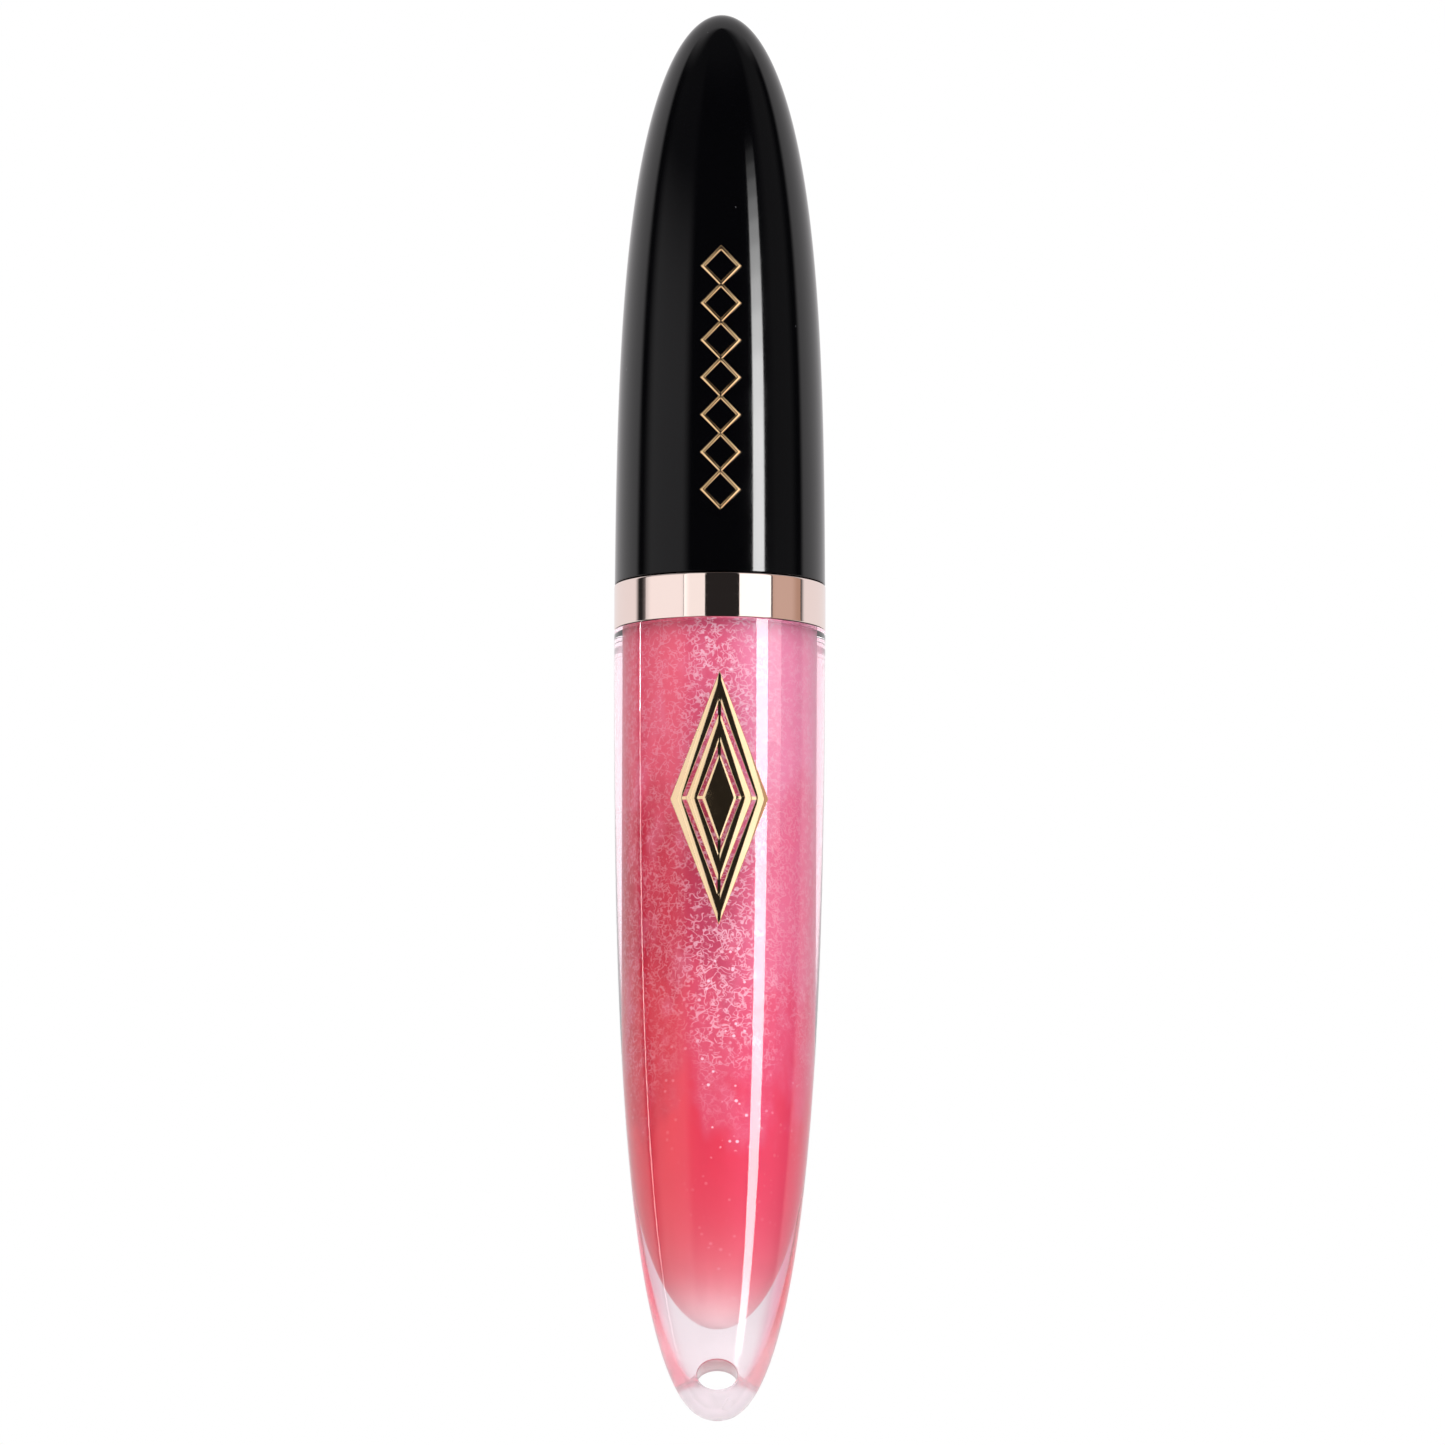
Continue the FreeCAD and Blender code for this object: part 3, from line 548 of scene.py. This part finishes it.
def make_neck():
    """Collar band, steps, threaded neck and the hidden plug, all one plated moulding."""
    room = 0.02
    outline = [(NECK_BORE, PLUG_FOOT), (PLUG, PLUG_FOOT), (PLUG, SPIGOT_TOP + room)]
    outline += [(SPIGOT + room, SPIGOT_TOP + room), (SPIGOT + room, COLLAR_FOOT), (BODY, COLLAR_FOOT)]
    outline += [(BODY, COLLAR_TOP), (5.9, COLLAR_TOP), (5.9, 76.9), (5.45, 76.9), (5.45, 77.5)]
    outline += [(NECK, 77.5), (NECK, NECK_TOP), (NECK_BORE, NECK_TOP), (NECK_BORE, PLUG_FOOT)]
    outline = dense_at(NECK, rounded(outline, 0.15))
    neck = lathe("neck", outline, lambda p: thread(p, 5.35, 0.58, NECK_START), closed=True)
    return finish_piece(neck, rose_gold(), "vial", "neck_collar")


def make_wiper():
    """A flanged sleeve whose soft lip closes round the stem."""
    lip, cone, flange, inside = 79.5, 82.3, 4.9, 3.3
    outline = [(STEM_FIT, lip), (2.5, lip), (WIPER_SLEEVE, cone), (WIPER_SLEEVE, NECK_TOP)]
    outline += [(flange, NECK_TOP), (flange, WIPER_TOP), (inside, WIPER_TOP), (inside, cone)]
    outline.append(outline[0])
    wiper = lathe("wiper_sleeve", rounded(outline, 0.12)[:-1], closed=True, around=128)
    paint = soft_plastic("wiper_plastic", rgb(232, 226, 224), rgb(243, 239, 237), 900, 0.00001)
    return finish_piece(wiper, paint, "vial", "wiper")


def make_stem(black):
    """The glossy rod, with the tip's socket in its end and the flange that stops it in the insert."""
    flange, flange_foot = 2.9, 88.4
    outline = [(STEM_BORE, STEM_BASE), (STEM_BORE, TIP_JOINT), (STEM, TIP_JOINT), (STEM, flange_foot)]
    outline += [(flange, flange_foot), (flange, INSERT_CEILING), (STEM, INSERT_CEILING)]
    outline += [(STEM, STEM_TOP), (0.0, STEM_TOP)]
    stem = lathe("stem", [(0.0, STEM_BASE)] + rounded(outline, 0.3, 6), around=128)
    return finish_piece(stem, black, "cap", "wand_stem")


def slanted(points):
    """Presses the front of the tip back to a slanted face, with a soft edge round it."""
    deepest, starts, length, softness = 3.45, 23.0, 11.0, 14
    face = -TIP + deepest * np.clip((starts - points[:, 2]) / length, 0, None)
    gap = face - points[:, 1]
    pressed = np.log1p(np.exp(gap * softness)) / softness
    points[:, 1] += np.where(points[:, 2] < 25.4, pressed, 0)
    return points


def make_flock():
    """Doe-foot tip: a slanted face on a round pile, and thousands of short fibres."""
    middle = TIP_END + TIP
    outline = [(TIP * math.sin(a), middle - TIP * math.cos(a)) for a in np.linspace(0, math.pi / 2, 24)]
    outline[0] = (0.0, TIP_END)
    outline += straight((TIP, 14.6), (TIP, 25.2), 0.12)
    outline += [(2.5, 25.38), (2.36, 25.47), (2.1, 25.48), (0.0, 25.48)]
    pile = lathe("flock_base", outline, slanted, around=160)
    co = np.array([v.co for v in pile.data.vertices]) / MM
    normals = np.array([v.normal for v in pile.data.vertices])
    random = np.random.RandomState(11)
    picked = random.choice(np.where((co[:, 2] < 25.3) & (co[:, 2] > 12.02))[0], 9000)
    points, faces = [], []
    for number in picked:
        ahead = normals[number] + random.normal(0, 0.28, 3)
        ahead /= np.linalg.norm(ahead)
        side = np.cross(ahead, (0.3, 0.5, 0.8))
        side /= np.linalg.norm(side)
        other = np.cross(ahead, side)
        root = co[number] + random.normal(0, 0.05, 3) - ahead * 0.06
        length, thick = random.uniform(0.16, 0.34), random.uniform(0.018, 0.03)
        first = len(points)
        for turn in range(3):
            angle = turn * 2 * math.pi / 3
            points.append(root + thick * (side * math.cos(angle) + other * math.sin(angle)))
            faces.append([first + turn, first + (turn + 1) % 3, first + 3])
        points.append(root + ahead * length)
    tip = joined("flock_tip", [pile, mesh_object("flock_fibres", points, faces)])
    return finish_piece(tip, flock_paint(), "cap", "applicator_flock")


def make_cap(black):
    """The tall over-cap, with the ledge that stops the insert and a hollow above it."""
    skin = from_pole(cap_radius, TOTAL, CAP_BASE + 0.3, 120)
    foot = [skin[-1], (float(cap_radius(CAP_BASE)), CAP_BASE), (CAP_BORE, CAP_BASE), (CAP_BORE, CAP_LEDGE)]
    foot += [(CAP_HOLLOW, CAP_LEDGE), (float(cap_inner_radius(CAP_LEDGE + 2)), CAP_LEDGE + 2)]
    inside = list(reversed(from_pole(cap_inner_radius, CAP_CROWN, CAP_LEDGE + 1, 50)))
    cap = lathe("cap", skin + rounded(foot, 0.2, 5)[1:-1] + inside)
    return finish_piece(cap, black, "cap", "cap_shell")


def make_insert():
    """The threaded inner cap: two rims that fit the over-cap, and the hub that grips the stem."""
    low_rim, high_rim, roof = 77.4, 90.58, 90.6
    hub, hub_top, seat = 3.5, 98.0, 5.3
    outline = [(INSERT_BORE, INSERT_FOOT), (INSERT_RIM, INSERT_FOOT), (INSERT_RIM, low_rim)]
    outline += [(INSERT_WALL, low_rim), (INSERT_WALL, high_rim), (INSERT_RIM, high_rim)]
    outline += [(INSERT_RIM, INSERT_TOP), (7.1, INSERT_TOP), (7.1, roof), (hub, roof), (hub, hub_top)]
    outline += [(STEM_FIT, hub_top), (STEM_FIT, INSERT_CEILING), (seat, INSERT_CEILING)]
    outline += [(seat, 86.6), (INSERT_BORE, 85.7), (INSERT_BORE, INSERT_FOOT)]
    outline = dense_at(INSERT_BORE, rounded(outline, 0.12))

    def threaded(points):
        return thread(points, 5.85, 0.5, CAP_START, inward=True)

    insert = lathe("cap_insert_moulding", outline, threaded, closed=True)
    return finish_piece(insert, moulded_black(), "cap", "cap_insert")


# ---------------------------------------------------------------- foil motifs

LOZENGE = [(1, 0), (0, 1), (-1, 0), (0, -1)]
MOTIF_FRAMES, MOTIF_HEART, MOTIF_BAR = ((1.0, 0.76), (0.68, 0.44)), 0.36, 0.3


def foil_rings(name, corners, size, centre, shares, rises, radius_at, lift=0.01):
    """Foil laid on the front of the tube: scaled copies of one outline, each with its own rise. Where
    the last is tiny it closes the foil's middle, and otherwise the rings make an open frame."""
    per_side = 20
    loop = []
    for here, after in zip(corners, corners[1:] + corners[:1]):
        loop += straight(here, after, math.dist(here, after) / per_side)[:per_side]
    points = []
    for share, rise in zip(shares, rises):
        for across, up in loop:
            x, z = across * share * size[0] / 2, centre + up * share * size[1] / 2
            r = float(radius_at(z)) + lift + rise
            points.append((x, -math.sqrt(r * r - x * x), z))
    count, rows = len(loop), len(shares)
    faces = []
    for row in range(rows):
        after = (row + 1) % rows
        if after == 0 and shares[-1] < 0.05:
            faces.append([row * count + k for k in range(count)])
            break
        for k in range(count):
            n = (k + 1) % count
            faces.append([row * count + k, row * count + n, after * count + n, after * count + k])
    return mesh_object(name, points, faces)


def make_vial_motif():
    """Nested lozenges: two bold frames round a solid one, tied together by a slim upright cross."""
    size, centre, thick = (8.8, 23.0), 55.1, 0.08
    parts = []
    for outer, inner in MOTIF_FRAMES:
        across = np.array([0, 0.02, 0.06, 0.5, 0.94, 0.98, 1])
        rises = thick * np.array([0, 0.7, 1, 1, 1, 0.7, 0])
        shares = outer + (inner - outer) * across
        parts.append(foil_rings("frame", LOZENGE, size, centre, shares, rises, vial_radius))
    shares = MOTIF_HEART * np.array([1, 0.985, 0.96, 0.8, 0.6, 0.4, 0.2, 0.04])
    rises = thick * np.array([0, 0.7, 1, 1, 1, 1, 1, 1])
    parts.append(foil_rings("heart", LOZENGE, size, centre, shares, rises, vial_radius))
    reach, half = MOTIF_FRAMES[0][1] + 0.02, MOTIF_BAR / 2
    shares = shares / MOTIF_HEART
    for width, height in ((half, size[1] / 2 * reach), (size[0] / 2 * reach, half)):
        bar = [(width, height), (-width, height), (-width, -height), (width, -height)]
        bar = [(x / size[0] * 2, z / size[1] * 2) for x, z in bar]
        parts.append(foil_rings("bar", bar, size, centre, shares, rises, vial_radius, lift=0.008))
    motif = joined("vial_foil", parts)
    motif.data.set_sharp_from_angle(angle=math.radians(40))
    gold = gold_foil("vial_foil_gold", rgb(240, 204, 158), rgb(248, 222, 184))
    return finish_piece(motif, gold, "vial", "vial_ornament")


def make_cap_motif():
    """A raised chain of open lozenges."""
    middle, pitch, count, line, thick = 93.2, 3.4, 7, 0.3, 0.15
    size = (3.8, pitch + 0.5)
    across = np.linspace(0, 1, 9)
    rises = thick * np.sqrt(np.clip(1 - (2 * across - 1) ** 2, 0, None))
    parts = []
    for number in range(count):
        centre = middle + pitch * (number - (count - 1) / 2)
        parts.append(foil_rings("link", LOZENGE, size, centre, 1 - line * across, rises, cap_radius))
    motif = joined("cap_foil", parts)
    gold = gold_foil("cap_foil_gold", rgb(232, 190, 138), rgb(244, 210, 164))
    return finish_piece(motif, gold, "cap", "cap_ornament")


def paint_node(node, material):
    """Gives a CAD node that stays its material."""
    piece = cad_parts[node]
    piece.data.materials.clear()
    piece.data.materials.append(material)


# ---------------------------------------------------------------- studio


def make_world():
    """Soft studio light: pale behind and overhead, dark behind the camera, dim at its left side and
    dimmer at its right. Rays that have passed through clear plastic see faint pink at both sides. The
    camera itself sees plain white."""
    world = bpy.data.worlds.new("studio")
    bpy.context.scene.world = world
    world.use_nodes = True
    world.node_tree.nodes.clear()
    sky = Graph(world.node_tree)
    split = sky.add("ShaderNodeSeparateXYZ")
    sky.link(sky.add("ShaderNodeTexCoord").outputs["Generated"], split.inputs[0])
    east, north, up = split.outputs
    south = sky.product(north, -1.0)
    turn = sky.product(sky.math("ARCTAN2", east, south), 180 / math.pi)
    rise = sky.product(sky.math("ARCSINE", up), 180 / math.pi)
    away = sky.math("ABSOLUTE", turn)
    path = sky.add("ShaderNodeLightPath")
    through = path.outputs["Is Transmission Ray"]

    behind = sky.span(away, 99.0, 107.0, 0.0, 0.86)
    overhead = sky.product(sky.span(rise, 36.0, 62.0, 0.0, 0.9), sky.span(away, 60.0, 110.0, 0.06, 1.0))
    left = sky.product(sky.span(turn, -96.0, -80.0, 0.0, 0.55), sky.span(turn, -44.0, -32.0, 1.0, 0.0))
    left = sky.product(left, sky.span(rise, 12.0, 27.0, 1.0, 0.1))
    right = sky.product(sky.span(turn, 96.0, 84.0, 0.0, 0.14), sky.span(turn, 50.0, 66.0))
    level = sky.math("MAXIMUM", sky.math("MAXIMUM", behind, overhead), sky.math("ADD", left, right))
    level = sky.math("ADD", level, 0.02)

    beside = sky.product(sky.span(away, 66.0, 80.0), sky.span(away, 120.0, 150.0, 1.0, 0.0), through)
    level = sky.math("MAXIMUM", level, sky.product(beside, 0.8))
    pink = sky.product(beside, sky.span(turn, -10.0, 10.0, 0.46, 0.24))
    dim = sky.product(sky.span(level, 0.15, 0.4, 1.0, 0.0), through)
    level = sky.math("ADD", level, sky.product(dim, 0.25))
    pink = sky.math("MAXIMUM", pink, sky.product(dim, 0.6))

    tint = sky.add("ShaderNodeCombineColor")
    for share, drop, socket in zip((1.0, 0.975, 0.99), (0.0, 1.0, 0.74), tint.inputs):
        kept = sky.math("SUBTRACT", share, sky.product(pink, drop))
        sky.link(sky.product(level, kept), socket)
    light = sky.add("ShaderNodeBackground")
    sky.link(tint.outputs[0], light.inputs["Color"])
    shown = sky.add("ShaderNodeBackground", Color=(1, 1, 1, 1))
    mix = sky.add("ShaderNodeMixShader")
    sky.link(path.outputs["Is Camera Ray"], mix.inputs[0])
    sky.link(light.outputs[0], mix.inputs[1])
    sky.link(shown.outputs[0], mix.inputs[2])
    out = sky.add("ShaderNodeOutputWorld")
    sky.link(mix.outputs[0], out.inputs["Surface"])


def softbox(name, azimuths, distance, low, high, radiance, colour=(1, 1, 1), shines_on=(), lights=False):
    """An upright area light between two azimuths, this far from the axis, with its low and high edges
    in metres. It shows only as a reflection unless it lights, and only on the pieces that it shines
    on, if any are given."""
    middle, half = (azimuths[0] + azimuths[1]) / 2, (azimuths[1] - azimuths[0]) / 2
    lamp = bpy.data.lights.new(name, "AREA")
    lamp.shape = "RECTANGLE"
    lamp.size, lamp.size_y = 2 * distance * math.tan(math.radians(half)), high - low
    lamp.energy = radiance * lamp.size * lamp.size_y * math.pi
    lamp.color = colour
    holder = bpy.data.objects.new(name, lamp)
    angle = math.radians(middle)
    holder.location = (distance * math.sin(angle), -distance * math.cos(angle), (low + high) / 2)
    aim = Vector((0, 0, (low + high) / 2)) - holder.location
    holder.rotation_euler = aim.to_track_quat("-Z", "Y").to_euler()
    holder.visible_camera = False
    holder.visible_diffuse = lights
    holder.visible_transmission = lights
    bpy.context.scene.collection.objects.link(holder)
    if shines_on:
        group = bpy.data.collections.new(name + "_shines_on")
        for piece in shines_on:
            group.objects.link(piece)
        holder.light_linking.receiver_collection = group
    return holder


def fading(low, full, top, steps):
    """Edges of a strip's pieces with their shares of its light: all of it up to full, none at top."""
    rise = (top - full) / steps
    ends = [(full + k * rise, full + (k + 1) * rise, (1 - (k + 0.5) / steps) ** 2) for k in range(steps)]
    return [(low, full, 1), *ends]


def make_lights(vial, neck, cap, foils):
    """Narrow strips in steps of light, broad boxes for the plated band and the foils, and a fill that
    lights the whole tube from the front."""
    vial_glow_steps = ((0.04, 0.075, 0.15), (0.075, 0.09, 0.5), (0.09, 0.17, 1))
    for name, piece, azimuths, radiance, steps in (
        ("cap_strip", cap, (36.0, 49.0), 22.0, fading(-0.06, 0.14, 0.26, 10)),
        ("vial_strip", vial, (40.0, 53.5), 12.0, ((-0.2, -0.12, 0.3), (-0.12, 0.17, 1))),
        ("vial_glow", vial, (54.0, 70.0), 2.4, vial_glow_steps),
        ("vial_line", vial, (-96.8, -95.2), 6.0, ((-0.1, 0.095, 1), (0.095, 0.17, 3))),
    ):
        for number, (low, high, share) in enumerate(steps):
            softbox(f"{name}_{number}", azimuths, 0.25, low, high, radiance * share, shines_on=[piece])
    white, tan = (1, 1, 1), (1.0, 0.66, 0.5)
    for name, azimuths, radiance, colour in (
        ("plate_left", (-88, -40), 0.45, white),
        ("plate_front", (-39, -16), 1.0, white),
        ("plate_right", (21, 57), 1.4, white),
        ("plate_tan", (59, 98), 0.45, tan),
    ):
        softbox(name, azimuths, 0.3, -0.15, 0.3, radiance, colour, [neck, *foils])
    tube = [piece for piece in bpy.context.scene.objects if piece.type == "MESH"]
    fill = softbox("fill_front", (-85, 85), 0.6, -0.3, 0.6, 2.5, shines_on=tube, lights=True)
    fill.visible_glossy = False


def make_floor():
    """A round pale floor far below the tube, with a light of its own, that no reflection shows."""
    floor = bpy.data.meshes.new("floor")
    around, radius, height = 64, 2.5, -0.42
    angles = [2 * math.pi * k / around for k in range(around)]
    ring = [(radius * math.cos(angle), radius * math.sin(angle), height) for angle in angles]
    floor.from_pydata(ring, [], [list(range(around))])
    holder = bpy.data.objects.new("floor", floor)
    bpy.context.scene.collection.objects.link(holder)
    paint = Paint("pale_floor", Roughness=0.6)
    paint.give("Base Color", paint.mix(paint.noise(8), rgb(240, 238, 238), rgb(245, 243, 243)))
    floor.materials.append(paint.material)
    holder.visible_glossy = False
    above = softbox("floor_light", (-72, 72), 1.0, -3.0, 3.0, 0.6, shines_on=[holder], lights=True)
    above.visible_glossy = above.visible_transmission = False
    above.location, above.rotation_euler = (0, 0, 1.0), (0, 0, 0)


def make_camera():
    """A long lens, a little below the tube's middle and looking up at it, very slightly turned."""
    camera = bpy.data.cameras.new("camera")
    camera.sensor_width = 36.0
    width, distance, elevation, lean = 0.12989, 3.0, math.radians(-7.8), math.radians(0.194)
    camera.lens = camera.sensor_width * distance / width
    holder = bpy.data.objects.new("camera", camera)
    target = Vector((0.00027, 0, 0.06316))
    back = Vector((0, -math.cos(elevation), math.sin(elevation)))
    holder.location = target + back * distance
    turn = (-back).to_track_quat("-Z", "Y") @ Quaternion((0, 0, 1), lean)
    holder.rotation_euler = turn.to_euler()
    camera.clip_start, camera.clip_end = 0.01, 20
    bpy.context.scene.collection.objects.link(holder)
    bpy.context.scene.camera = holder


# ---------------------------------------------------------------- put together

black = piano_black()
vial = make_vial()
make_gloss()
neck = make_neck()
make_wiper()
make_stem(black)
make_flock()
cap = make_cap(black)
make_insert()
foils = [make_vial_motif(), make_cap_motif()]
core_paint = soft_plastic("core_plastic", rgb(214, 150, 156), rgb(226, 168, 172), 700, 0.00001)
paint_node("applicator_core", core_paint)
liner_paint = soft_plastic("liner_foam", rgb(226, 226, 224), rgb(244, 244, 242), 1800, 0.00003)
paint_node("seal_liner", liner_paint)

make_world()
make_lights(vial, neck, cap, foils)
make_floor()
make_camera()
bpy.context.scene.view_settings.view_transform = "Standard"
